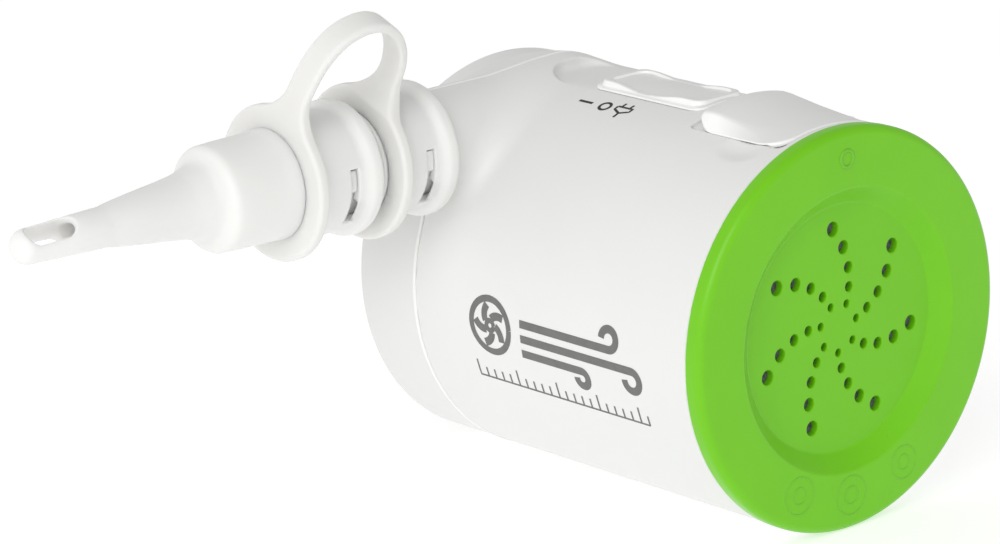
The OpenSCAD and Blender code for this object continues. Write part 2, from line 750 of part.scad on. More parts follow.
module tip_nozzle() color("#eceded") placed() difference() {
  union() {
    along_nozzle(tip_s) cylinder(h = 3.8, r = rim_r);
    along_nozzle(tip_s) cylinder(h = 16.1, r = skirt_r);
    along_nozzle() rotate_extrude() polygon(tip_outline);
  }
  along_nozzle(tip_s - 1) cylinder(h = adaptor_front + 1.5 - tip_s, r = spigot_r + spigot_fit);
  slots(tip_s);
  // Air passage that narrows to the tip
  along_nozzle() rotate_extrude() polygon([[0, 70], [9, 70], [9, 93], [5.2, 101], [4.3, 112],
    [2.6, 124], [2.4, tip_l - 2.2], [0, tip_l - 1.6]]);
  // Air slot through both sides of the tip
  along_nozzle() rotate([0, 0, slot_a]) rotate([90, 0, 90]) translate([0, 0, -10])
    linear_extrude(20) polygon(concat(
      [for (i = [0:12]) [slot_half * cos(i * 15), tip_l - 4.4 + slot_half * sin(i * 15)]],
      [for (i = [12:24]) [slot_half * cos(i * 15), tip_l - slot_len + slot_half * sin(i * 15)]]));
}

// A point on a smooth curve through four control points
function curve(p, t) = pow(1 - t, 3) * p[0] + 3 * t * pow(1 - t, 2) * p[1]
  + 3 * t * t * (1 - t) * p[2] + pow(t, 3) * p[3];
function curve_dir(p, t) = let (d = 3 * (pow(1 - t, 2) * (p[1] - p[0]) + 2 * t * (1 - t) * (p[2] - p[1])
  + t * t * (p[3] - p[2]))) d / norm(d);
function side(p, t, w) = let (c = curve(p, t), d = curve_dir(p, t)) [c[0] - d[1] * w, c[1] + d[0] * w];
function edge(w) = concat([for (i = [0:11]) side(strap_rise, i / 12, w)],
  [for (i = [0:12]) side(strap_fall, i / 12, w)]);
function reversed(v) = [for (i = [len(v) - 1:-1:0]) v[i]];

// A ring end of the tether with the tab that runs up to the strap
module tether_end(s) {
  along_nozzle(s) difference() {
    union() {
      cylinder(h = ring_t, r = ring_r);
      rotate([0, 0, loop_angle]) translate([0, 0, 0.1]) linear_extrude(ring_t - 0.2) polygon([
        [12, -9.5], [15, -8], [17.5, -4.6], [20.5, -strap_w / 2], [20.5, strap_w / 2],
        [17.5, 4.6], [15, 8], [12, 9.5]]);
    }
    translate([0, 0, -1]) cylinder(h = ring_t + 2, r = ring_in_r);
  }
}

module nozzle_tether() color("#eceded") placed() {
  tether_end(adaptor_ring_s);
  tether_end(tip_ring_s);
  along_nozzle() rotate([0, 0, loop_angle]) rotate([90, 0, 0]) translate([0, 0, -strap_w / 2])
    linear_extrude(strap_w) polygon([for (p = concat(edge(strap_t / 2), reversed(edge(-strap_t / 2))))
      [p[1], -p[0]]]);
}

front_housing();
rear_cover();
inlet_cover();
inlet_filter();
cover_screws();
scroll_case();
scroll_lid();
outlet_spigot();
nozzle_adaptor();
tip_nozzle();
nozzle_tether();
impeller();
motor_shaft();
motor_can();
motor_end_cap();
motor_bushes();
motor_magnets();
motor_armature();
motor_windings();
commutator();
motor_brushes();
motor_terminals();
motor_screws();
battery_cells();
battery_tray();
battery_strips();
battery_leads();
motor_leads();
circuit_board();
board_chips();
board_screws();
charge_socket();
charge_lamp();
switch_body();
switch_lever();
switch_knob();
switch_clip();
port_cover();
port_cover_pin();
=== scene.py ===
import math

import bmesh
import bpy
import numpy as np
from mathutils import Matrix, Vector


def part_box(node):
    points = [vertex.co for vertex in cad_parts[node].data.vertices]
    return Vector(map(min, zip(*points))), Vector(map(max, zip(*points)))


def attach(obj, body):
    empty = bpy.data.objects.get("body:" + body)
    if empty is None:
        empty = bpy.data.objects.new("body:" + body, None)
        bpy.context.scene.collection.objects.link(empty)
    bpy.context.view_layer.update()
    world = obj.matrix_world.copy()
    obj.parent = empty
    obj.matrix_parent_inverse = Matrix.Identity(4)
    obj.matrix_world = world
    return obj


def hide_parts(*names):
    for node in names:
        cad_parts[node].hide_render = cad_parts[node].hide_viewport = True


# The looks of a rechargeable air mattress pump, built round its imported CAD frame.
# Shapes are given in millimetres in the pump's own axes: x = 0 at the inlet face, running to
# negative x towards the rear; y = z = 0 on the pump axis; the nozzles point to -y and the switch is up.

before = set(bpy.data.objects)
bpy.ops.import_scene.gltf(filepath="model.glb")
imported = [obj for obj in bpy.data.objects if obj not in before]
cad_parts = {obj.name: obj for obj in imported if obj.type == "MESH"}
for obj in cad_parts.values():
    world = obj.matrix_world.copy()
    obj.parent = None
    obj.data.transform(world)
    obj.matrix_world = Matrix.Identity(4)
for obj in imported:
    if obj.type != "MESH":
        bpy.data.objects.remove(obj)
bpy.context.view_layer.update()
MM = 0.001


# ---------- Places and sizes from the frame ----------

def box_mm(node):
    """Lowest and highest corner of a CAD node, in millimetres, in the row frame."""
    lo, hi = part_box(node)
    return np.array(lo) / MM, np.array(hi) / MM


cover_lo, cover_hi = box_mm("inlet_cover")
tip_lo, tip_hi = box_mm("tip_nozzle")
rear_lo, _ = box_mm("rear_cover")
shell_lo, shell_hi = box_mm("front_housing")
knob_lo, knob_hi = box_mm("switch_knob")
flap_lo, flap_hi = box_mm("port_cover")
pin_lo, pin_hi = box_mm("port_cover_pin")

MARK_H = 0.3
COVER_R = (cover_hi[1] - cover_lo[1]) / 2
ORIGIN = np.array([cover_hi[0] - MARK_H, (cover_lo[1] + cover_hi[1]) / 2, cover_lo[2] + COVER_R])
BODY_R = shell_hi[1] - ORIGIN[1]
REAR_X = rear_lo[0] - ORIGIN[0]
SEAM_X = shell_lo[0] - ORIGIN[0]
FRONT_X = shell_hi[0] - ORIGIN[0]
NOZ_X = (tip_lo[0] + tip_hi[0]) / 2 - ORIGIN[0]
NOZ_Z = (tip_lo[2] + tip_hi[2]) / 2 - ORIGIN[2]
TIP_S = ORIGIN[1] - tip_lo[1]
COLLAR_R = 11.3
COLLAR_L = 40.0
DUCT_R = 9.4
WALL = 2.0


# ---------- Rounded solid shapes as signed distances, negative inside ----------

def meet(a, b, r):
    """The overlap of two shapes, its outer edge rounded to radius r."""
    return np.minimum(np.maximum(a, b), -r) + np.hypot(np.maximum(a + r, 0), np.maximum(b + r, 0))


def join(a, b, r):
    """The union of two shapes, with a fillet of radius r between them."""
    return np.maximum(np.minimum(a, b), r) - np.hypot(np.maximum(r - a, 0), np.maximum(r - b, 0))


def cut(a, b, r):
    """Shape a without shape b, the new edges rounded to radius r."""
    return meet(a, -b, r)


def slab(v, lo, hi):
    """The space between two planes across one coordinate."""
    return np.maximum(lo - v, v - hi)


def plan(u, v, u0, u1, v0, v1, r):
    """A rectangle with round corners, in two coordinates."""
    du = np.abs(u - (u0 + u1) / 2) - (u1 - u0) / 2 + r
    dv = np.abs(v - (v0 + v1) / 2) - (v1 - v0) / 2 + r
    return np.minimum(np.maximum(du, dv), 0) + np.hypot(np.maximum(du, 0), np.maximum(dv, 0)) - r


def ring(rho, s, r, s0, s1, edge):
    """A disc or short rod of radius r between two stations, with round edges."""
    return meet(rho - r, slab(s, s0, s1), edge)


# ---------- Turning a signed distance into a mesh ----------

def lines(lo, hi, step, *fine):
    """Grid lines from lo to hi, closer together in each fine stretch (start, end, step)."""
    out = [lo]
    while out[-1] < hi - 1e-6:
        x, h, limit = out[-1], step, hi
        for start, end, fine_step in fine:
            if start - 1e-6 <= x < end - 1e-6:
                h, limit = min(h, fine_step), min(limit, end)
            elif x < start:
                limit = min(limit, start)
        out.append(x + (limit - x) / max(1, math.ceil((limit - x) / h - 1e-6)))
    return np.array(out)


def gradient(shape, v, e=0.01):
    """Slope of a signed distance at each point."""
    x, y, z = v.T
    return np.stack([
        shape(x + e, y, z) - shape(x - e, y, z),
        shape(x, y + e, z) - shape(x, y - e, z),
        shape(x, y, z + e) - shape(x, y, z - e)], -1) / (2 * e)


CORNERS = [(i, j, k) for i in (0, 1) for j in (0, 1) for k in (0, 1)]
EDGES = [(a, b) for a in CORNERS for b in CORNERS if a < b and sum(abs(p - q) for p, q in zip(a, b)) == 1]


def skin(shape, xs, ys, zs):
    """Vertices and quads of the surface of a signed distance, on a grid of lines (dual surface mesh)."""
    f = np.asarray(shape(xs[:, None, None], ys[None, :, None], zs[None, None, :]), np.float32)
    f = np.broadcast_to(f, (len(xs), len(ys), len(zs)))
    inside = f < 0
    count = sum(inside[i:len(xs) - 1 + i, j:len(ys) - 1 + j, k:len(zs) - 1 + k].astype(np.int8)
                for i, j, k in CORNERS)
    cells = np.argwhere((count > 0) & (count < 8))
    index = np.full(count.shape, -1, np.int32)
    index[tuple(cells.T)] = np.arange(len(cells))
    total = np.zeros((len(cells), 3))
    crossings = np.zeros(len(cells))
    for a, b in EDGES:
        ia, ib = cells + a, cells + b
        fa, fb = f[tuple(ia.T)].astype(float), f[tuple(ib.T)].astype(float)
        crosses = (fa < 0) != (fb < 0)
        t = np.where(crosses, fa / np.where(crosses, fa - fb, 1), 0)[:, None]
        pa = np.stack([xs[ia[:, 0]], ys[ia[:, 1]], zs[ia[:, 2]]], -1)
        pb = np.stack([xs[ib[:, 0]], ys[ib[:, 1]], zs[ib[:, 2]]], -1)
        total += np.where(crosses[:, None], pa + t * (pb - pa), 0)
        crossings += crosses
    verts = total / crossings[:, None]
    for _ in range(3):
        slope = gradient(shape, verts)
        step = shape(*verts.T)[:, None] * slope / np.maximum((slope ** 2).sum(-1, keepdims=True), 0.25)
        verts -= np.clip(step, -0.3, 0.3)
    quads = []
    for axis in range(3):
        other = [(axis + 1) % 3, (axis + 2) % 3]
        here = [slice(None)] * 3
        there = [slice(None)] * 3
        here[axis], there[axis] = slice(0, -1), slice(1, None)
        for o in other:
            here[o] = there[o] = slice(1, -1)
        first, second = inside[tuple(here)], inside[tuple(there)]
        at = np.argwhere(first != second)
        leaves = first[tuple(at.T)]
        at = at + [0 if k == axis else 1 for k in range(3)]
        ring_cells = []
        for du, dv in ((-1, -1), (0, -1), (0, 0), (-1, 0)):
            c = at.copy()
            c[:, other[0]] += du
            c[:, other[1]] += dv
            ring_cells.append(index[tuple(c.T)])
        q = np.stack(ring_cells, -1)
        q[~leaves] = q[~leaves][:, ::-1]
        quads.append(q)
    return verts, np.concatenate(quads)


def to_row(verts):
    """Pump millimetres to metres in the row frame."""
    return (np.asarray(verts, float) + ORIGIN) * MM


def make_object(name, verts, faces, material, body, nodes=()):
    """An object from pump-millimetre vertices, riding on a body and standing for CAD nodes."""
    mesh = bpy.data.meshes.new(name)
    mesh.from_pydata(to_row(verts).tolist(), [], faces.tolist() if hasattr(faces, "tolist") else faces)
    mesh.validate()
    mesh.polygons.foreach_set("use_smooth", [True] * len(mesh.polygons))
    mesh.materials.append(material)
    obj = bpy.data.objects.new(name, mesh)
    bpy.context.collection.objects.link(obj)
    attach(obj, body)
    if nodes:
        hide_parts(*nodes)
    return obj


def sharp_edges(obj, degrees):
    """Keeps edges sharper than an angle crisp in the shading."""
    bm = bmesh.new()
    bm.from_mesh(obj.data)
    for e in bm.edges:
        e.smooth = not (len(e.link_faces) == 2 and e.calc_face_angle(0) > math.radians(degrees))
    bm.to_mesh(obj.data)
    bm.free()


# ---------- Materials ----------

class Nodes:
    """A short way to write a material's node tree."""

    def __init__(self, name):
        self.mat = bpy.data.materials.new(name)
        self.mat.use_nodes = True
        self.tree = self.mat.node_tree
        self.shader = self.tree.nodes["Principled BSDF"]
        self.coords = self.tree.nodes.new("ShaderNodeTexCoord").outputs["Object"]

    def add(self, kind, inputs=None, **settings):
        node = self.tree.nodes.new(kind)
        for key, value in settings.items():
            setattr(node, key, value)
        for key, value in (inputs or {}).items():
            if hasattr(value, "is_output"):
                self.tree.links.new(value, node.inputs[key])
            else:
                node.inputs[key].default_value = value
        return node

    def noise(self, scale, detail=3.0, rough=0.5):
        """Noise over the object, scale in features per metre."""
        return self.add("ShaderNodeTexNoise", {"Vector": self.coords, "Scale": scale, "Detail": detail,
                                               "Roughness": rough}).outputs["Fac"]

    def calc(self, operation, *values):
        """The result of one operation on numbers or outputs."""
        return self.add("ShaderNodeMath", dict(enumerate(values)), operation=operation).outputs[0]

    def uneven(self, scale, low, high):
        """A value that drifts between two limits over the object."""
        return self.ramp(self.noise(scale), 0.3, 0.7, low, high)

    def ramp(self, fac, lo, hi, low, high):
        return self.add("ShaderNodeMapRange", {"Value": fac, "From Min": lo, "From Max": hi,
                                               "To Min": low, "To Max": high}).outputs["Result"]

    def mix(self, fac, a, b):
        node = self.add("ShaderNodeMix", data_type="RGBA")
        for socket, value in zip((node.inputs[0], node.inputs[6], node.inputs[7]), (fac, a, b)):
            if hasattr(value, "is_output"):
                self.tree.links.new(value, socket)
            else:
                socket.default_value = value
        return node.outputs[2]

    def bump(self, height, strength, distance, normal=None):
        inputs = {"Height": height, "Strength": strength, "Distance": distance}
        if normal is not None:
            inputs["Normal"] = normal
        return self.add("ShaderNodeBump", inputs).outputs["Normal"]

    def set(self, **values):
        for key, value in values.items():
            socket = self.shader.inputs[key.replace("_", " ")]
            if hasattr(value, "is_output"):
                self.tree.links.new(value, socket)
            else:
                socket.default_value = value


def rgba(color, k=1.0):
    return (color[0] * k, color[1] * k, color[2] * k, 1.0)


def moulded(name, color, rough, shade=0.03, grain=2600.0, grain_depth=0.000006, gloss=0.5, glow=0.0,
            painted_light=None):
    """Injection-moulded plastic: faint flow marks in the colour, uneven gloss and a fine spark texture.

    The last argument, when given, is a function that works out from the node tree where light is painted on
    the plastic as a paler tone."""
    n = Nodes(name)
    flow = n.noise(28.0, 4.0, 0.6)
    specks = n.noise(900.0, 2.0)
    tone = n.mix(n.ramp(flow, 0.3, 0.7, 0.0, 1.0), rgba(color, 1 - shade), rgba(color, 1 + shade * 0.6))
    tone = n.mix(n.ramp(specks, 0.62, 0.75, 0.0, 0.25), tone, rgba(color, 1 - 2.5 * shade))
    if painted_light:
        # Painted light: the plastic is mixed towards near-white where that mask says light falls.
        tone = n.mix(painted_light(n), tone, (0.95, 0.95, 0.94, 1))
    fine = n.bump(n.noise(grain, 2.0), 0.35, grain_depth)
    wavy = n.bump(n.noise(60.0, 2.0), 0.25, grain_depth * 6, fine)
    n.set(Base_Color=tone, Roughness=n.ramp(n.noise(45.0, 5.0, 0.65), 0.25, 0.75, rough * 0.86, rough * 1.16),
          Normal=wavy, IOR=gloss_ior(gloss))
    if glow:
        n.shader.inputs["Subsurface Weight"].default_value = glow
        n.shader.inputs["Subsurface Radius"].default_value = (1.0, 0.95, 0.9)
        n.shader.inputs["Subsurface Scale"].default_value = 0.004
    return n.mat


def painted_light_sides(n):
    """Painted light: the steep sides of a button are painted paler than its top, as if lit from the side.

    The direction is in the piece's own axes, so the sides stay the same ones when it moves."""
    facing = n.add("ShaderNodeTexCoord").outputs["Normal"]
    height = n.add("ShaderNodeSeparateXYZ", {"Vector": facing}).outputs["Z"]
    return n.ramp(n.calc("ABSOLUTE", height), 0.68, 0.92, 0.85, 0.0)


def painted_light_knob(n):
    """Painted light: the knob's steep sides and the edge of its foot plate are painted paler than its top."""
    place = n.add("ShaderNodeSeparateXYZ", {"Vector": n.coords}).outputs
    low = n.ramp(place["Z"], (ORIGIN[2] + 43.2) * MM, (ORIGIN[2] + 43.4) * MM, 0.75, 0.0)
    off = n.calc("ABSOLUTE", n.calc("SUBTRACT", place["Y"], ORIGIN[1] * MM))
    foot = n.calc("MINIMUM", low, n.ramp(off, 6.6 * MM, 6.9 * MM, 0.0, 1.0))
    return n.calc("MAXIMUM", painted_light_sides(n), foot)


def painted_highlight_seam(n):
    """A painted highlight: a paler stripe along the seam bead of the rear cover, where its edge would catch
    the light.
    """
    along = n.add("ShaderNodeSeparateXYZ", {"Vector": n.coords}).outputs["X"]
    off = n.calc("ABSOLUTE", n.calc("SUBTRACT", along, (SEAM_X - 0.35 + ORIGIN[0]) * MM))
    return n.ramp(off, 0.3 * MM, 0.5 * MM, 0.6, 0.0)


def gloss_ior(gloss):
    """Refractive index for a gloss from 0 (dull) to 1 (bright)."""
    return 1.3 + 0.4 * gloss


def metal(name, color, rough, scratch=0.12):
    """Plated or turned metal: fine scratches in gloss and height."""
    n = Nodes(name)
    stretched = n.add("ShaderNodeMapping", {"Vector": n.coords, "Scale": (40.0, 900.0, 900.0)})
    scratches = n.add("ShaderNodeTexNoise", {"Vector": stretched.outputs["Vector"], "Scale": 2.0,
                                             "Detail": 4.0}).outputs["Fac"]
    tone = n.mix(n.noise(120.0, 4.0), rgba(color, 0.88), rgba(color, 1.06))
    n.set(Base_Color=tone, Metallic=1.0, Normal=n.bump(scratches, 0.2, 0.00001),
          Roughness=n.ramp(scratches, 0.3, 0.7, rough - scratch / 2, rough + scratch / 2))
    return n.mat


def foam(name, color):
    """Open-cell filter foam: cells as holes in height, with painted shade darkening their hollows."""
    n = Nodes(name)
    cells = n.add("ShaderNodeTexVoronoi", {"Vector": n.coords, "Scale": 900.0}).outputs["Distance"]
    tone = n.mix(n.ramp(cells, 0.0, 0.6, 0.0, 1.0), rgba(color, 0.3), rgba(color, 1.5))
    n.set(Base_Color=tone, Roughness=n.uneven(200.0, 0.85, 0.95), Normal=n.bump(cells, 0.8, 0.0004))
    return n.mat


def board(name, color, copper):
    """Solder mask over copper tracks."""
    n = Nodes(name)
    tracks = n.add("ShaderNodeTexBrick", {"Vector": n.coords, "Scale": 260.0,
                                          "Mortar Size": 0.06}).outputs["Fac"]
    tone = n.mix(tracks, rgba(color), rgba(copper))
    n.set(Base_Color=tone, Roughness=n.uneven(300.0, 0.28, 0.42), Normal=n.bump(tracks, 0.3, 0.00004))
    return n.mat


def wound(name, color):
    """Enamelled wire laid side by side, with painted shade in the grooves between turns and a painted
    highlight on their crowns.
    """
    n = Nodes(name)
    wire = n.add("ShaderNodeTexWave", {"Vector": n.coords, "Scale": 900.0, "Distortion": 0.6},
                 bands_direction="Z").outputs["Fac"]
    tone = n.mix(wire, rgba(color, 0.45), rgba(color, 1.2))
    n.set(Base_Color=tone, Metallic=0.9, Roughness=n.ramp(wire, 0.0, 1.0, 0.5, 0.28),
          Normal=n.bump(wire, 0.7, 0.0002))
    return n.mat


def ink(name, color):
    """Pad-printed ink, a little uneven."""
    n = Nodes(name)
    tone = n.mix(n.noise(700.0, 3.0), rgba(color, 0.85), rgba(color, 1.2))
    n.set(Base_Color=tone, Roughness=n.uneven(400.0, 0.45, 0.6),
          Normal=n.bump(n.noise(1500.0), 0.2, 0.00001))
    return n.mat


# Painted light on these plastics: a painted highlight along the seam of the shell, and paler painted sides on
# the button and the knob.
SHELL = moulded("shell_white", (0.75, 0.755, 0.74), 0.42, shade=0.012, painted_light=painted_highlight_seam)
BUTTON = moulded("button_white", (0.76, 0.76, 0.755), 0.33, shade=0.012, grain_depth=0.000003, painted_light=painted_light_sides)
KNOB = moulded("knob_white", (0.76, 0.76, 0.755), 0.33, shade=0.012, grain_depth=0.000003, painted_light=painted_light_knob)
# Painted shade: the tether is the same plastic as the nozzles, coloured darker to stand for shade on it.
TETHER = moulded("tether_white", (0.73, 0.728, 0.715), 0.5, shade=0.012, glow=0.6)
SPIGOT = moulded("spigot_white", (0.76, 0.765, 0.75), 0.42, shade=0.012)
NOZZLE = moulded("nozzle_white", (0.80, 0.798, 0.785), 0.45, shade=0.012, glow=0.6)
GREEN = moulded("cover_green", (0.162, 0.55, 0.004), 0.32, shade=0.05, grain=3000.0, gloss=0.25)
GREEN_MARK = moulded("cover_green_mark", (0.155, 0.51, 0.014), 0.45, shade=0.05)
INK_DARK = ink("print_dark", (0.012, 0.012, 0.012))
INK_GREY = ink("print_grey", (0.137, 0.137, 0.134))

CAD_LOOKS = {
    moulded("inner_plastic", (0.42, 0.44, 0.43), 0.5): ["scroll_case", "scroll_lid", "switch_clip"],
    moulded("black_plastic", (0.025, 0.026, 0.028), 0.45, shade=0.15):
        ["motor_end_cap", "battery_tray", "board_chips", "switch_body", "switch_lever"],
    moulded("impeller_plastic", (0.72, 0.73, 0.70), 0.45): ["impeller"],
    moulded("cell_wrap", (0.05, 0.16, 0.42), 0.3, shade=0.08): ["battery_cells"],
    moulded("wire_red", (0.45, 0.02, 0.015), 0.45, shade=0.08): ["battery_leads"],
    moulded("wire_black", (0.02, 0.02, 0.022), 0.45, shade=0.1): ["motor_leads"],
    moulded("magnet", (0.05, 0.05, 0.055), 0.6, shade=0.15): ["motor_magnets"],
    moulded("lamp_red", (0.6, 0.03, 0.02), 0.15, shade=0.05): ["charge_lamp"],
    metal("steel", (0.62, 0.63, 0.64), 0.3):
        ["cover_screws", "motor_shaft", "motor_can", "motor_screws", "battery_strips", "board_screws",
         "charge_socket", "port_cover_pin"],
    metal("laminations", (0.36, 0.37, 0.38), 0.42): ["motor_armature"],
    metal("copper", (0.78, 0.36, 0.18), 0.3): ["commutator"],
    metal("bronze", (0.60, 0.38, 0.18), 0.45): ["motor_bushes"],
    metal("brass", (0.78, 0.60, 0.28), 0.32): ["motor_brushes", "motor_terminals"],
    wound("windings", (0.75, 0.30, 0.12)): ["motor_windings"],
    foam("filter_foam", (0.09, 0.095, 0.10)): ["inlet_filter"],
    board("board_green", (0.02, 0.15, 0.05), (0.10, 0.30, 0.10)): ["circuit_board"],
    SPIGOT: ["outlet_spigot"],
}
for look, names in CAD_LOOKS.items():
    for node_name in names:
        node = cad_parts[node_name]
        node.data.materials.clear()
        node.data.materials.append(look)


# ---------- Shells ----------

FILLET = 6.0
REAR_ROUND = 1.2
SEAM_BEAD = 0.18
LEDGE_Z = 42.1
LEDGE = (-83.4, -33.4, 9.6)  # rear end, front end, half width
FLAP_X = (flap_lo[0] - ORIGIN[0], flap_hi[0] - ORIGIN[0])
FLAP_ANGLES = (-19.2, 15.5)
POCKET_ANGLE = -18.4
HINGE_Y, HINGE_Z = (pin_lo[1] + pin_hi[1]) / 2 - ORIGIN[1], (pin_lo[2] + pin_hi[2]) / 2 - ORIGIN[2]
POCKET_R = BODY_R - 1.0
FLAP_TOP = flap_hi[2] - ORIGIN[2]
SCOOP = (-14.5, 22.7, 6.5, 0.75)  # x, angle from the top, radius, depth
SCOOP_LONG = 1.4
SCREW_RING_R = 36.4
SCREW_ANGLES = (62, 100, 140, 222)
SCREW_HEAD_R, SCREW_HOLE_R = 2.6, 1.5


def around(y, z):
    """Arc length on the body from its top line, positive towards +y."""
    return np.arctan2(y, z) * BODY_R


def arc(degrees):
    """Arc length on the body that an angle spans."""
    return math.radians(degrees) * BODY_R


def from_outlet(x, y, z):
    """Distance from the outlet's axis, which starts inside the body at y = 0."""
    return np.sqrt((x - NOZ_X) ** 2 + np.maximum(y, 0) ** 2 + (z - NOZ_Z) ** 2)


def shell_outside(x, y, z):
    rho = np.hypot(y, z)
    barrel = np.maximum(meet(rho - BODY_R, REAR_X - x, REAR_ROUND), x - FRONT_X)
    tube = meet(from_outlet(x, y, z) - COLLAR_R, -COLLAR_L - y, 0.5)
    return join(barrel, tube, FILLET)


def shell_hollow(x, y, z):
    rho = np.hypot(y, z)
    room = np.maximum(rho - (BODY_R - WALL), REAR_X + WALL - x)
    return np.minimum(room, from_outlet(x, y, z) - DUCT_R)


def front_shell(x, y, z):
    rho, t = np.hypot(y, z), around(y, z)
    solid = meet(shell_outside(x, y, z), SEAM_X + 0.01 - x, 0.05)
    solid = meet(solid, x - FRONT_X, 0.25)
    hollow = shell_hollow(x, y, z)
    pad = np.maximum(np.maximum(slab(t, arc(11), arc(26)), slab(x, -34.5, -9.3)), 37.6 - rho)
    solid = np.maximum(solid, -np.maximum(hollow, -pad))
    ledge = meet(plan(x, y, LEDGE[0], LEDGE[1], -LEDGE[2], LEDGE[2], 8.0), LEDGE_Z - z, 1.6)
    solid = cut(solid, ledge, 0.25)
    pocket = plan(x, t, FLAP_X[0] - 0.3, FLAP_X[1] + 0.3, arc(POCKET_ANGLE), arc(16.5), 1.6)
    pocket = np.maximum(pocket, POCKET_R - rho)
    solid = cut(solid, pocket, 0.25)
    notch = np.maximum(plan(x, t, -30.4, -11.6, arc(13.8), arc(25), 0.6), 39.2 - rho)
    solid = cut(solid, notch, 0.2)
    port = np.maximum(plan(x, y, -25, -13, -2.6, 2.6, 2.2), 30 - z)
    solid = cut(solid, port, 0.3)
    stem_slot = np.maximum(plan(x, y, -65.6, -47.5, -2.1, 2.1, 0.8), 30 - z)
    solid = cut(solid, stem_slot, 0.15)
    sx, angle, r, depth = SCOOP
    a = math.radians(angle)
    far = BODY_R + r - depth
    across = np.hypot(y + far * math.sin(a), z - far * math.cos(a))
    return cut(solid, np.hypot((x - sx) / SCOOP_LONG, across) - r, 0.8)


def rear_shell(x, y, z):
    outside = shell_outside(x, y, z)
    solid = meet(outside, x - (SEAM_X - 0.01), 0.05)
    bead = meet(outside - SEAM_BEAD, slab(x, SEAM_X - 0.75, SEAM_X - 0.01), 0.1)
    solid = join(solid, bead, 0.15)
    solid = np.maximum(solid, -shell_hollow(x, y, z))
    for angle in SCREW_ANGLES:
        a = math.radians(angle)
        d = np.hypot(y + SCREW_RING_R * math.sin(a), z - SCREW_RING_R * math.cos(a))
        solid = cut(solid, np.maximum(d - SCREW_HEAD_R, x - (REAR_X + 1.0)), 0.25)
        solid = cut(solid, np.maximum(d - SCREW_HOLE_R, x - (REAR_X + 10.0)), 0.1)
    return solid


def build_shells():
    y_lines = lines(-BODY_R - 1, BODY_R + 1, 1.2, (-20, 20, 0.3))
    z_lines = lines(-BODY_R - 1, 45.5, 1.2, (36.5, 45.5, 0.3))
    x_lines = lines(SEAM_X - 0.7, FRONT_X + 0.7, 0.5, (SEAM_X - 0.7, SEAM_X + 0.7, 0.12), (-84, -76, 0.3),
                    (-36, FRONT_X + 0.7, 0.28))
    verts, quads = skin(front_shell, x_lines, y_lines, z_lines)
    make_object("front_shell", verts, quads, SHELL, "pump_body", ["front_housing"])
    x_lines = lines(REAR_X - 0.7, SEAM_X + 0.7, 0.7, (REAR_X - 0.7, REAR_X + 1.6, 0.35),
                    (SEAM_X - 0.7, SEAM_X + 0.7, 0.12))
    y_lines = lines(-BODY_R - 1, BODY_R + 1, 0.7)
    z_lines = lines(-BODY_R - 1, 45.5, 0.7)
    verts, quads = skin(rear_shell, x_lines, y_lines, z_lines)
    make_object("rear_shell", verts, quads, SHELL, "pump_body", ["rear_cover"])


# ---------- Nozzles and tether ----------

SKIRT_R, RIM_R, SPIGOT_R, BORE_R = 13.0, 14.6, 10.9, 11.0
ADAPTOR_S, ADAPTOR_END = 40.7, 72.0
NOZZLE_S = 61.3
LUG_LOW, LUG_ARC, TURN, SLOT_GAP = -9.0, 20.0, 36.0, 3.0
RING_R, RING_T = 16.7, 2.7
RING_STATIONS = (55.1, 77.6)
LUG_R = 12.3
LOOP_ANGLE = 68.0
SLOT_ANGLE = 60.0
TETHER_SEAT_R = 11.05
STRAP_HALF, STRAP_T = 3.25, 2.1


def nozzle_coords(x, y, z):
    """Distance along the nozzle axis, distance from it, and the two coordinates across it."""
    u, v = x - NOZ_X, z - NOZ_Z
    return -y, np.hypot(u, v), u, v


def angle_slab(u, v, rho, start, arc_deg):
    """The wedge between two angles round the nozzle axis, as a distance."""
    middle = math.radians(start + arc_deg / 2)
    off = np.arctan2(v * math.cos(middle) - u * math.sin(middle), u * math.cos(middle) + v * math.sin(middle))
    return (np.abs(off) - math.radians(arc_deg / 2)) * rho


def bayonet_cut(solid, s, rho, u, v, start):
    """Cuts the two L-shaped bayonet slots into a skirt that starts at a station."""
    low = LUG_LOW - TURN - SLOT_GAP
    for turn in (0, 180):
        run = np.maximum(angle_slab(u, v, rho, low + turn, TURN + LUG_ARC + 2 * SLOT_GAP - 1.8),
                         slab(s, start + 5.55, start + 7.65))
        solid = cut(solid, np.maximum(run, SPIGOT_R - 0.5 - rho), 0.25)
        entry = np.maximum(angle_slab(u, v, rho, low + turn, LUG_ARC + 2 * SLOT_GAP),
                           slab(s, start - 1, start + 7.5))
        entry = np.maximum(np.maximum(entry, SPIGOT_R - 0.5 - rho), rho - LUG_R - 0.15)
        solid = cut(solid, entry, 0.1)
    return solid


def bayonet_lugs(solid, s, rho, u, v, start):
    """Adds the two lugs that turn into the slots of the next skirt."""
    for turn in (0, 180):
        lug = np.maximum(angle_slab(u, v, rho, LUG_LOW - 2.2 + turn, LUG_ARC + 2.2),
                         slab(s, start, start + 1.8))
        lug = np.maximum(meet(lug, rho - LUG_R, 0.3), SPIGOT_R - 1.5 - rho)
        solid = join(solid, lug, 0.15)
    return solid


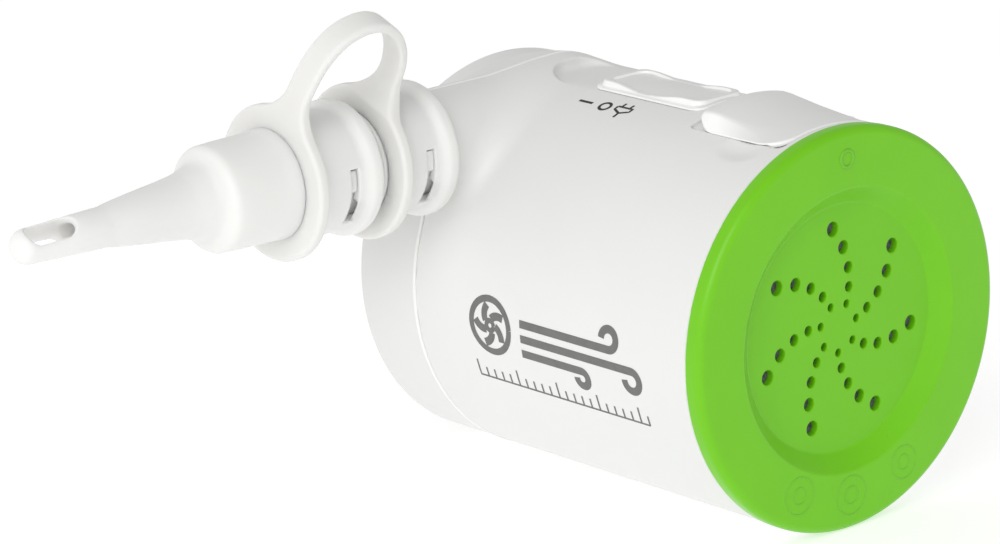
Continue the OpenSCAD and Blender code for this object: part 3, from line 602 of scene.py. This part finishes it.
def adaptor(x, y, z):
    s, rho, u, v = nozzle_coords(x, y, z)
    solid = ring(rho, s, SKIRT_R, ADAPTOR_S, RING_STATIONS[0] - 0.1, 0.5)
    solid = join(solid, ring(rho, s, RIM_R, ADAPTOR_S, ADAPTOR_S + 3.4, 1.2), 1.8)
    solid = join(solid, ring(rho, s, TETHER_SEAT_R, ADAPTOR_S + 1, 58.5, 0.1), 0.2)
    solid = join(solid, ring(rho, s, 11.6, 58.1, 59.1, 0.4), 0.2)
    solid = join(solid, ring(rho, s, SPIGOT_R, 57, ADAPTOR_END, 0.6), 0.2)
    solid = cut(solid, ring(rho, s, BORE_R, ADAPTOR_S - 2, 52.4, 0.01), 0.3)
    solid = cut(solid, rho - 8.8, 0.4)
    solid = bayonet_cut(solid, s, rho, u, v, ADAPTOR_S)
    return bayonet_lugs(solid, s, rho, u, v, NOZZLE_S + 5.7)


def cone(rho, s, stations):
    """Outline of a turned part: radius as a smooth function of the distance along its axis."""
    s_knots = np.array([k[0] for k in stations])
    r_knots = np.array([k[1] for k in stations])
    r = np.interp(s, s_knots, r_knots)
    slope = np.interp(s, (s_knots[1:] + s_knots[:-1]) / 2, np.diff(r_knots) / np.diff(s_knots))
    return (rho - r) / np.sqrt(1 + slope ** 2)


# Outlines of the tip nozzle: distance along the nozzle axis and radius
PLUG_OUTLINE = ((80, 11.9), (84, 11.6), (92, 11.5), (100, 11.2))
TIP_OUTLINE = ((95, 9.2), (98, 8.5), (101, 7.6), (104, 6.8), (108, 6.25), (112, 5.8), (116, 5.35),
               (121, 4.7), (123.5, 4.25), (130, 4.1), (142, 3.7), (146, 3.6))
AIR_OUTLINE = ((60, 9), (93, 9), (101, 5.2), (112, 4.3), (124, 2.6), (TIP_S, 2.4))


def nozzle_tip(x, y, z):
    s, rho, u, v = nozzle_coords(x, y, z)
    solid = ring(rho, s, SKIRT_R, NOZZLE_S, RING_STATIONS[1] - 0.2, 0.5)
    solid = join(solid, ring(rho, s, RIM_R, NOZZLE_S, NOZZLE_S + 3.4, 1.2), 1.8)
    solid = join(solid, ring(rho, s, TETHER_SEAT_R, NOZZLE_S + 1, 81, 0.1), 0.2)
    barrel = cone(rho, s, PLUG_OUTLINE)
    plug = np.minimum(meet(barrel, slab(s, 90, 98.3), 2.2), meet(barrel, slab(s, 80.4, 94), 0.04))
    slim = meet(cone(rho, s, TIP_OUTLINE), slab(s, 95, TIP_S), 2.7)
    solid = join(join(plug, slim, 2.0), solid, 0.3)
    solid = cut(solid, ring(rho, s, BORE_R, NOZZLE_S - 2, 72.5, 0.01), 0.3)
    solid = bayonet_cut(solid, s, rho, u, v, NOZZLE_S)
    passage = np.maximum(cone(rho, s, AIR_OUTLINE), slab(s, 60, TIP_S - 2.0))
    solid = np.maximum(solid, -passage)
    a = math.radians(SLOT_ANGLE)
    across = -u * math.sin(a) + v * math.cos(a)
    slot = plan(s, across, TIP_S - 13.5, TIP_S - 1.9, -2.6, 2.6, 2.59)
    return cut(solid, slot, 0.5)


# Control points of the strap's centre line: minus the distance along the nozzle axis, distance out
STRAP_RISE = ((-78.95, 14.5), (-77.6, 25.0), (-74.5, 34.8), (-64.5, 35.7))
STRAP_FALL = ((-64.5, 35.7), (-55.8, 36.5), (-48.6, 24.5), (-56.45, 14.5))


def bezier(p, n):
    """Points on a cubic curve through four control points."""
    t = np.linspace(0, 1, n)[:, None]
    p = np.array(p)
    return (1 - t) ** 3 * p[0] + 3 * t * (1 - t) ** 2 * p[1] + 3 * t ** 2 * (1 - t) * p[2] + t ** 3 * p[3]


STRAP = np.concatenate([bezier(STRAP_RISE, 25)[:-1], bezier(STRAP_FALL, 25)])
STRAP = np.concatenate([[(STRAP[0, 0], -20)], STRAP, [(STRAP[-1, 0], -20)]])
STRAP[:, 0] *= -1


def strap_distance(s, p):
    """Distance from the strap's centre line, in the loop's plane."""
    best = None
    for (s0, p0), (s1, p1) in zip(STRAP[:-1], STRAP[1:]):
        ds, dp = s1 - s0, p1 - p0
        t = np.clip(((s - s0) * ds + (p - p0) * dp) / (ds * ds + dp * dp), 0, 1)
        d2 = (s - s0 - t * ds) ** 2 + (p - p0 - t * dp) ** 2
        best = d2 if best is None else np.minimum(best, d2)
    return np.sqrt(best)


def tether_local(q, s, p):
    """The tether in the loop's own axes: q across the strap, s along the nozzles, p outwards.

    One bent sheet: two round ends and a strap, with wide fillets where they meet."""
    rho = np.hypot(p, q)
    strap = np.maximum(np.abs(q) - STRAP_HALF, 5 - p)
    flat = join(rho - RING_R, strap, 5.0)
    thin = np.clip((p - 15) / 8, 0, 1)
    half = RING_T / 2 + (STRAP_T / 2 - RING_T / 2) * thin * thin * (3 - 2 * thin)
    solid = meet(flat, strap_distance(s, p) - half, 0.8)
    return cut(solid, rho - 11.15, 0.12)


def build_nozzles():
    span = 15.0
    across_x = lines(NOZ_X - span, NOZ_X + span, 0.4)
    across_z = lines(NOZ_Z - span, NOZ_Z + span, 0.4)
    along = lines(-ADAPTOR_END - 0.8, -ADAPTOR_S + 0.8, 0.4, (-49.3, -45.3, 0.25), (-60, -54, 0.25))
    verts, quads = skin(adaptor, across_x, along, across_z)
    make_object("adaptor_nozzle", verts, quads, NOZZLE, "nozzle_adaptor", ["nozzle_adaptor"])
    across_x = lines(NOZ_X - span, NOZ_X + span, 0.4, (NOZ_X - 5, NOZ_X + 5, 0.25))
    across_z = lines(NOZ_Z - span, NOZ_Z + span, 0.4, (NOZ_Z - 5, NOZ_Z + 5, 0.25))
    along = lines(-TIP_S - 0.8, -NOZZLE_S + 0.8, 0.5, (-TIP_S - 0.8, -TIP_S + 14.4, 0.25), (-81, -79.6, 0.12),
                  (-70, -65.6, 0.25))
    verts, quads = skin(nozzle_tip, across_x, along, across_z)
    make_object("valve_nozzle", verts, quads, NOZZLE, "tip_nozzle", ["tip_nozzle"])
    q_lines = lines(-17.5, 17.5, 0.4)
    s_lines = lines(50.0, 81.5, 0.3)
    p_lines = lines(-17.5, 38.0, 0.4)
    verts, quads = skin(tether_local, q_lines, s_lines, p_lines)
    a = math.radians(LOOP_ANGLE)
    q, s, p = verts.T
    verts = np.stack([NOZ_X + p * math.cos(a) - q * math.sin(a), -s,
                      NOZ_Z + p * math.sin(a) + q * math.cos(a)], -1)
    make_object("tether_strap", verts, quads, TETHER, "pump_body", ["nozzle_tether"])


# ---------- Switch knob and port cover ----------

def smooth_interp(x, knots):
    """A smooth curve through (place, value) knots, flat at each knot."""
    xs, vs = zip(*knots)
    out = np.full(np.shape(x), float(vs[0]))
    for x0, x1, v0, v1 in zip(xs[:-1], xs[1:], vs[:-1], vs[1:]):
        t = np.clip((x - x0) / (x1 - x0), 0, 1)
        out = out + (v1 - v0) * t * t * (3 - 2 * t)
    return out


def knob(x, y, z):
    x0, x1 = knob_lo[0] - ORIGIN[0], knob_hi[0] - ORIGIN[0]
    half = (knob_hi[1] - knob_lo[1]) / 2
    top = knob_hi[2] - ORIGIN[2]
    rho = np.hypot(y, z)
    height = smooth_interp(x, [(x0 + 4.5, top), (x0 + 13.5, top - 0.85), (x0 + 17.5, top - 0.85),
                               (x0 + 27, top)])
    foot = meet(plan(x, y, x0, x1, -half, half, 3.0), rho - BODY_R - 0.45, 0.25)
    lean = 0.45 * np.maximum(z - 42.8, 0)
    pad = plan(x, y, x0 + 0.5, x1 - 0.8, 1.2 - half, half - 1.2, 2.8) + lean
    pad = meet(pad, z - height, 0.35)
    dish = meet(plan(x, y, x0 + 2.4, x1 - 2.6, 2.7 - half, half - 2.7, 2.4), height - 0.6 - z, 0.35)
    pad = cut(pad, dish, 0.25)
    notch = np.maximum(plan(x, y, -55.3, -51.5, -half - 3, 3.6 - half, 0.8), 42.95 - z)
    pad = cut(pad, notch, 0.4)
    solid = join(foot, pad, 0.25)
    solid = np.maximum(solid, 0.04 - np.maximum(rho - BODY_R, z - LEDGE_Z))
    stem = np.maximum(plan(x, y, -53.5, -48.5, -1.7, 1.7, 0.3), slab(z, 39.2, 42.8))
    return np.minimum(solid, stem)


# The port cover's back: distance from its rear end and height against its highest place
HUMP = ((0.0, -2.6), (1.2, -0.8), (2.6, -0.2), (4.4, 0.0), (6.4, -0.1), (9.4, -0.6), (14.4, -1.4),
        (20.4, -2.1), (26.4, -2.7))
LIP_WIDTH = 3.7
LIP_EDGE_R = 43.1


def flap(x, y, z):
    rho, t = np.hypot(y, z), around(y, z)
    places, drops = np.array(HUMP).T
    hump = FLAP_TOP + np.interp(x, FLAP_X[0] + places, drops)
    near, far = arc(FLAP_ANGLES[0]), arc(FLAP_ANGLES[1])
    middle = (FLAP_X[0] + FLAP_X[1]) / 2
    side = np.where(t > 0, plan(x, t, FLAP_X[0], FLAP_X[1], near, far, 1.0),
                    np.where(x < middle, plan(x, t, FLAP_X[0], FLAP_X[1], near, far, 8.0),
                             plan(x, t, FLAP_X[0], FLAP_X[1], near, far, 6.0)))
    above = np.maximum(rho - LIP_EDGE_R, 0)
    slope = LIP_WIDTH / np.maximum(hump - LIP_EDGE_R, 0.3)
    lip = (near - t + slope * above) / np.sqrt(1 + slope ** 2)
    back = (t - far + 0.8 * above) / 1.3
    body = meet(np.maximum(side, back), rho - hump, 0.7)
    body = meet(body, lip, 0.3)
    over_edge = np.clip((arc(POCKET_ANGLE) + 0.45 - t) / 0.2, 0, 1)
    body = np.maximum(body, 42.1 + over_edge * (BODY_R + 0.05 - 42.1) - rho)
    hollow = plan(x, t, FLAP_X[0] + 2.6, FLAP_X[0] + 18, arc(-12.5), arc(13), 2.5)
    body = np.maximum(body, -np.maximum(hollow, rho - hump + 1.9))
    from_pin = np.hypot(y - HINGE_Y, z - HINGE_Z)
    knuckle = np.maximum(from_pin - 1.45, slab(x, -30, -12))
    web = np.maximum(np.maximum(slab(t, arc(13.5), arc(19.6)), slab(rho, 41.6, 43.1)), slab(x, -30, -12))
    body = join(body, join(knuckle, web, 0.4), 0.3)
    return np.maximum(body, -(from_pin - 0.76))


def build_controls():
    verts, quads = skin(knob, lines(-69.2, -34.6, 0.22), lines(-8.8, 8.8, 0.22, (-8.4, -7.4, 0.1)),
                        lines(38.8, 44.6, 0.18, (41.6, 42.8, 0.1)))
    make_object("slide_knob", verts, quads, KNOB, "switch_slider", ["switch_knob"])
    verts, quads = skin(flap, lines(-33.0, -5.2, 0.22), lines(-15.2, 15.8, 0.25, (-14.8, -11.0, 0.14)),
                        lines(36.8, 46.4, 0.2, (39.8, 42.4, 0.1)))
    make_object("port_flap_cover", verts, quads, BUTTON, "port_flap", ["port_cover"])


# ---------- Green inlet cover ----------

# Rows of holes: distance from the middle, angle behind the first row, radius
HOLE_ROWS = ((5.3, 0.0, 0.85), (8.8, 6.25, 1.07), (12.8, 13.5, 1.2), (17.05, 21.7, 1.4), (21.45, 30.9, 1.55))
ARMS, ARM_START = 7, 62.15
DISH_DEPTH = 3.3
COVER_BACK = 5.1


def fillet(before, corner, after, r, n=6):
    """Points on a round of radius r at a corner of an outline."""
    a, c, b = (np.array(p, float) for p in (before, corner, after))
    u, w = (a - c) / np.linalg.norm(a - c), (b - c) / np.linalg.norm(b - c)
    half = math.acos(np.clip(u @ w, -1, 1)) / 2
    reach = r / math.tan(half)
    centre = c + (u + w) / np.linalg.norm(u + w) * r / math.sin(half)
    first, last = c + u * reach - centre, c + w * reach - centre
    sweep = math.acos(np.clip(first @ last / r ** 2, -1, 1))
    out = []
    for i in range(n + 1):
        k = i / n
        spoke = math.sin((1 - k) * sweep) * first + math.sin(k * sweep) * last
        out.append(tuple(centre + spoke / math.sin(sweep)))
    return out


def outline(points, n=6):
    """An outline of (a, b, round) corners with its rounds worked out."""
    out = []
    for i, (a, b, r) in enumerate(points):
        if r == 0:
            out.append((a, b))
        else:
            out += fillet(points[i - 1][:2], (a, b), points[(i + 1) % len(points)][:2], r, n)
    return out


def revolved(points, segments, centre=(0.0, 0.0)):
    """Vertices and faces of an outline of (x, radius) turned round a line along the pump axis."""
    verts, faces, rows = [], [], []
    for x, r in points:
        if r < 1e-6:
            rows.append([len(verts)])
            verts.append((x, centre[0], centre[1]))
            continue
        rows.append([len(verts) + k for k in range(segments)])
        for k in range(segments):
            a = 2 * math.pi * k / segments
            verts.append((x, centre[0] + r * math.cos(a), centre[1] + r * math.sin(a)))
    for i in range(len(rows) - 1):
        lower, upper = rows[i], rows[i + 1]
        for k in range(segments):
            m = (k + 1) % segments
            quad = [lower[k % len(lower)], lower[m % len(lower)],
                    upper[m % len(upper)], upper[k % len(upper)]]
            faces.append([v for n, v in enumerate(quad) if v not in quad[:n]])
    return verts, faces


def build_cover():
    profile = outline([
        (-DISH_DEPTH, 0, 0), (-DISH_DEPTH, 26.5, 1.2), (0, 30.3, 1.2), (0, COVER_R, 1.9),
        (-4, COVER_R, 0.3), (-4, 40.6, 0), (-8.6, 40.6, 0.3), (-8.6, 38.8, 0.3), (-4.6, 38.8, 0),
        (-4.6, 32.8, 0), (-8.8, 32.8, 0), (-8.8, 31.3, 0), (-COVER_BACK, 31.3, 0), (-COVER_BACK, 0, 0)], 8)
    verts, faces = revolved(profile, 256)
    plate = make_object("inlet_grille", verts, faces, GREEN, "pump_body", ["inlet_cover"])
    cutters = bmesh.new()
    for arm in range(ARMS):
        for radius, lag, r in HOLE_ROWS:
            a = math.radians(ARM_START + arm * 360 / ARMS + lag)
            centre = (radius * math.cos(a), radius * math.sin(a))
            drill = [(-7, 0), (-7, r), (-3.62, r), (-3.46, r + 0.05), (-3.34, r + 0.17), (-3.28, r + 0.36),
                     (-2, r + 0.36), (-2, 0)]
            v, f = revolved(drill, 28, centre)
            made = [cutters.verts.new(p) for p in to_row(v)]
            for face in f:
                cutters.faces.new([made[i] for i in face])
    bmesh.ops.recalc_face_normals(cutters, faces=cutters.faces)
    drill_mesh = bpy.data.meshes.new("grille_drills")
    cutters.to_mesh(drill_mesh)
    cutters.free()
    drills = bpy.data.objects.new("grille_drills", drill_mesh)
    bpy.context.collection.objects.link(drills)
    fix_normals(plate)
    modifier = plate.modifiers.new("holes", "BOOLEAN")
    modifier.operation, modifier.solver, modifier.object = "DIFFERENCE", "EXACT", drills
    apply_modifiers(plate)
    bpy.data.objects.remove(drills)
    sharp_edges(plate, 38)
    build_cover_marks()


def fix_normals(obj):
    """Turns every face of a mesh outwards."""
    bm = bmesh.new()
    bm.from_mesh(obj.data)
    bmesh.ops.recalc_face_normals(bm, faces=bm.faces)
    bm.to_mesh(obj.data)
    bm.free()


def apply_modifiers(obj):
    evaluated = obj.evaluated_get(bpy.context.evaluated_depsgraph_get())
    mesh = bpy.data.meshes.new_from_object(evaluated)
    obj.modifiers.clear()
    obj.data = mesh


def raised_ring(x, centre, r, width, height):
    """A soft-edged raised ring on the inlet face."""
    profile = [(x - 0.05, r - width / 2)]
    profile += [(x + height * math.sin(a), r - width / 2 * math.cos(a)) for a in np.linspace(0, math.pi, 9)]
    profile += [(x - 0.05, r + width / 2)]
    return revolved(profile, 64, centre)


def build_cover_marks():
    """The top mark and three moulder's marks, as plain rings."""
    parts = [raised_ring(0, (0, 36.7), 1.75, 0.8, MARK_H)]
    for angle, r in ((-116, 4.0), (-91, 4.2), (-65, 3.6)):
        a = math.radians(angle)
        centre = (35.5 * math.cos(a), 35.5 * math.sin(a))
        parts.append(raised_ring(0, centre, r, 0.35, 0.12))
        parts.append(raised_ring(0, centre, r * 0.45, 0.35, 0.12))
    for i, (verts, faces) in enumerate(parts):
        fix_normals(make_object(f"cover_mark_{i + 1}", verts, faces, GREEN_MARK, "pump_body"))


# ---------- Printing ----------

def ribbon(points, width, lift=0.03, step=0.6):
    """A printed stroke along points of (x, arc length from the top towards -y) on the body."""
    path = [np.array(points[0], float)]
    for q in points[1:]:
        q = np.array(q, float)
        n = max(1, math.ceil(np.linalg.norm(q - path[-1]) / step))
        start = path[-1]
        path += [start + (q - start) * (i + 1) / n for i in range(n)]
    path = np.array(path)
    direction = np.gradient(path, axis=0)
    direction /= np.maximum(np.linalg.norm(direction, axis=1, keepdims=True), 1e-9)
    normal = np.stack([-direction[:, 1], direction[:, 0]], -1) * width / 2
    sides = np.concatenate([path + normal, path - normal])
    n = len(path)
    a = sides[:, 1] / BODY_R
    r = BODY_R + lift
    verts = np.stack([sides[:, 0], -r * np.sin(a), r * np.cos(a)], -1)
    return verts, [[i, i + 1, n + i + 1, n + i] for i in range(n - 1)]


def curl(x0, x1, t, r, side):
    """A line of moving air that ends in a curl."""
    points = [(x0, t), (x1, t)]
    for i in range(1, 19):
        a = i * math.radians(15)
        points.append((x1 + r * math.sin(a), t + side * (r - r * math.cos(a))))
    return points


def circle_path(x, t, r, n=36):
    turns = [2 * math.pi * i / n for i in range(n + 1)]
    return [(x + r * math.cos(a), t + r * math.sin(a)) for a in turns]


def print_on_body(name, strokes, material):
    verts, faces = [], []
    for points, width in strokes:
        v, f = ribbon(points, width)
        faces += [[i + len(verts) for i in face] for face in f]
        verts += v.tolist()
    fix_normals(make_object(name, verts, faces, material, "pump_body"))


def airflow_print():
    """A fan and three lines of moving air."""
    middle, hub_x = arc(92.6), -64.0
    strokes = [(circle_path(hub_x, middle, 5.9), 1.5), (circle_path(hub_x, middle, 1.1, 16), 1.2)]
    for i in range(5):
        blade = []
        for k in np.linspace(1.6, 4.6, 8):
            a = math.radians(72 * i) + 0.26 * (k - 1.6)
            blade.append((hub_x + k * math.cos(a), middle + k * math.sin(a)))
        strokes.append((blade, 1.8))
    for end_x, drop, r, side in ((-27.0, -2.3, 2.2, -1), (-20.5, 1.0, 2.2, 1), (-36.0, 4.3, 1.7, 1)):
        strokes.append((curl(-54.5, end_x, middle + drop, r, side), 1.8))
    return strokes


def gauge_print():
    """A row of short strokes like a rule, with a longer one at every fifth."""
    low = arc(107.2)
    strokes = [([(-70.4, low + 1.9), (-17.6, low + 1.9)], 0.45)]
    for i in range(22):
        reach = 1.9 if i % 5 == 0 else 0.4
        strokes.append(([(-70.2 + 2.5 * i, low - reach), (-70.2 + 2.5 * i, low + 1.9)], 0.5))
    return strokes


def build_printing():
    """The side print, and the switch's marks: a stroke, a ring and a plug."""
    print_on_body("print_airflow", airflow_print(), INK_GREY)
    print_on_body("print_rule", gauge_print(), INK_GREY)
    t = arc(18)
    switch = [([(-66.3, t), (-62.2, t)], 0.75), (circle_path(-58.3, t, 1.35), 0.7)]
    pins = [[(-54.2, arc(14.6)), (-54.2, arc(16.4))], [(-51.8, arc(14.6)), (-51.8, arc(16.4))]]
    shell = [(-55.2, arc(16.6)), (-50.8, arc(16.6)), (-50.8, arc(18.2)), (-53, arc(19.6)),
             (-55.2, arc(18.2)), (-55.2, arc(16.6))]
    cord = [(-53, arc(19.6)), (-53, arc(21.8))]
    plug = [(points, 0.6) for points in (*pins, shell, cord)]
    print_on_body("print_switch_marks", switch + plug, INK_DARK)


# ---------- Camera, light and floor ----------

CAMERA_AZIMUTH, CAMERA_ELEVATION, CAMERA_ROLL = 49.5, 16.3, -2.37
CAMERA_TARGET = (-56.0, -46.2, 12.1)
CAMERA_DISTANCE = 0.961
CAMERA_LENS = 166.7
FLOOR_HALF = 6
FLOOR_GLOW = 0.56
SIDE_LIGHT = 1.0
CEILING_LIGHT = 0.55
FAR_SIDE_SHADE = 0.6
SOFT_BOX_PLACE, SOFT_BOX_AIM = (0.6, -1.05, 0.95), (-0.02, -0.05, 0.045)
SOFT_BOX_SIZE, SOFT_BOX_POWER = 1.0, 8.5


def build_camera(scene):
    azimuth, elevation = math.radians(CAMERA_AZIMUTH), math.radians(CAMERA_ELEVATION)
    roll = math.radians(CAMERA_ROLL)
    back = Vector((math.sin(azimuth) * math.cos(elevation), -math.cos(azimuth) * math.cos(elevation),
                   math.sin(elevation)))
    right = Vector((math.cos(azimuth), math.sin(azimuth), 0))
    up = back.cross(right)
    right, up = right * math.cos(roll) + up * math.sin(roll), up * math.cos(roll) - right * math.sin(roll)
    target = Vector((np.array(CAMERA_TARGET) + ORIGIN) * MM)
    camera = bpy.data.objects.new("camera", bpy.data.cameras.new("camera"))
    camera.data.sensor_width, camera.data.lens = 36.0, CAMERA_LENS
    camera.data.clip_start, camera.data.clip_end = 0.05, 20
    camera.matrix_world = Matrix((
        (right.x, up.x, back.x, 0), (right.y, up.y, back.y, 0), (right.z, up.z, back.z, 0), (0, 0, 0, 1)))
    camera.location = target + back * CAMERA_DISTANCE
    bpy.context.collection.objects.link(camera)
    scene.camera = camera


def build_floor():
    mesh = bpy.data.meshes.new("floor")
    corners = [(-1, -1), (1, -1), (1, 1), (-1, 1)]
    mesh.from_pydata([(FLOOR_HALF * x, FLOOR_HALF * y, 0) for x, y in corners], [], [(0, 1, 2, 3)])
    n = Nodes("floor_paper")
    n.set(Base_Color=n.mix(n.noise(9.0), (0.61, 0.61, 0.61, 1), (0.63, 0.63, 0.63, 1)), Roughness=0.9)
    n.shader.inputs["Specular IOR Level"].default_value = 0.1
    n.shader.inputs["Emission Color"].default_value = (1, 1, 1, 1)
    n.shader.inputs["Emission Strength"].default_value = FLOOR_GLOW
    mesh.materials.append(n.mat)
    floor = bpy.data.objects.new("floor", mesh)
    bpy.context.collection.objects.link(floor)


def light_ramp(tree, value, *limits):
    """A light level that goes from one value to another along a direction."""
    ramp = tree.nodes.new("ShaderNodeMapRange")
    tree.links.new(value, ramp.inputs["Value"])
    for key, limit in zip(("From Min", "From Max", "To Min", "To Max"), limits):
        ramp.inputs[key].default_value = limit
    return ramp.outputs["Result"]


def build_world(scene):
    """White surroundings, dimmer overhead and on the far side."""
    world = bpy.data.worlds.new("studio")
    world.use_nodes = True
    tree = world.node_tree
    split = tree.nodes.new("ShaderNodeSeparateXYZ")
    tree.links.new(tree.nodes.new("ShaderNodeTexCoord").outputs["Generated"], split.inputs["Vector"])
    strength = tree.nodes.new("ShaderNodeMath")
    strength.operation = "MULTIPLY"
    upwards = light_ramp(tree, split.outputs["Z"], 0.1, 0.95, SIDE_LIGHT, CEILING_LIGHT)
    sideways = light_ramp(tree, split.outputs["Y"], 0.1, 0.8, 1.0, FAR_SIDE_SHADE)
    tree.links.new(upwards, strength.inputs[0])
    tree.links.new(sideways, strength.inputs[1])
    tree.links.new(strength.outputs[0], tree.nodes["Background"].inputs["Strength"])
    tree.nodes["Background"].inputs["Color"].default_value = (1.0, 1.0, 0.99, 1)
    scene.world = world


def add_light(name, place, aim, size, power):
    data = bpy.data.lights.new(name, "AREA")
    data.shape, data.size, data.energy = "SQUARE", size, power
    light = bpy.data.objects.new(name, data)
    light.location = place
    light.rotation_mode = "QUATERNION"
    light.rotation_quaternion = (Vector(aim) - Vector(place)).to_track_quat("-Z", "Y")
    bpy.context.collection.objects.link(light)


def build_stage():
    scene = bpy.context.scene
    scene.view_settings.view_transform = "Standard"
    build_camera(scene)
    build_floor()
    build_world(scene)
    add_light("camera_soft", SOFT_BOX_PLACE, SOFT_BOX_AIM, SOFT_BOX_SIZE, SOFT_BOX_POWER)


build_stage()
build_shells()
build_nozzles()
build_controls()
build_cover()
build_printing()
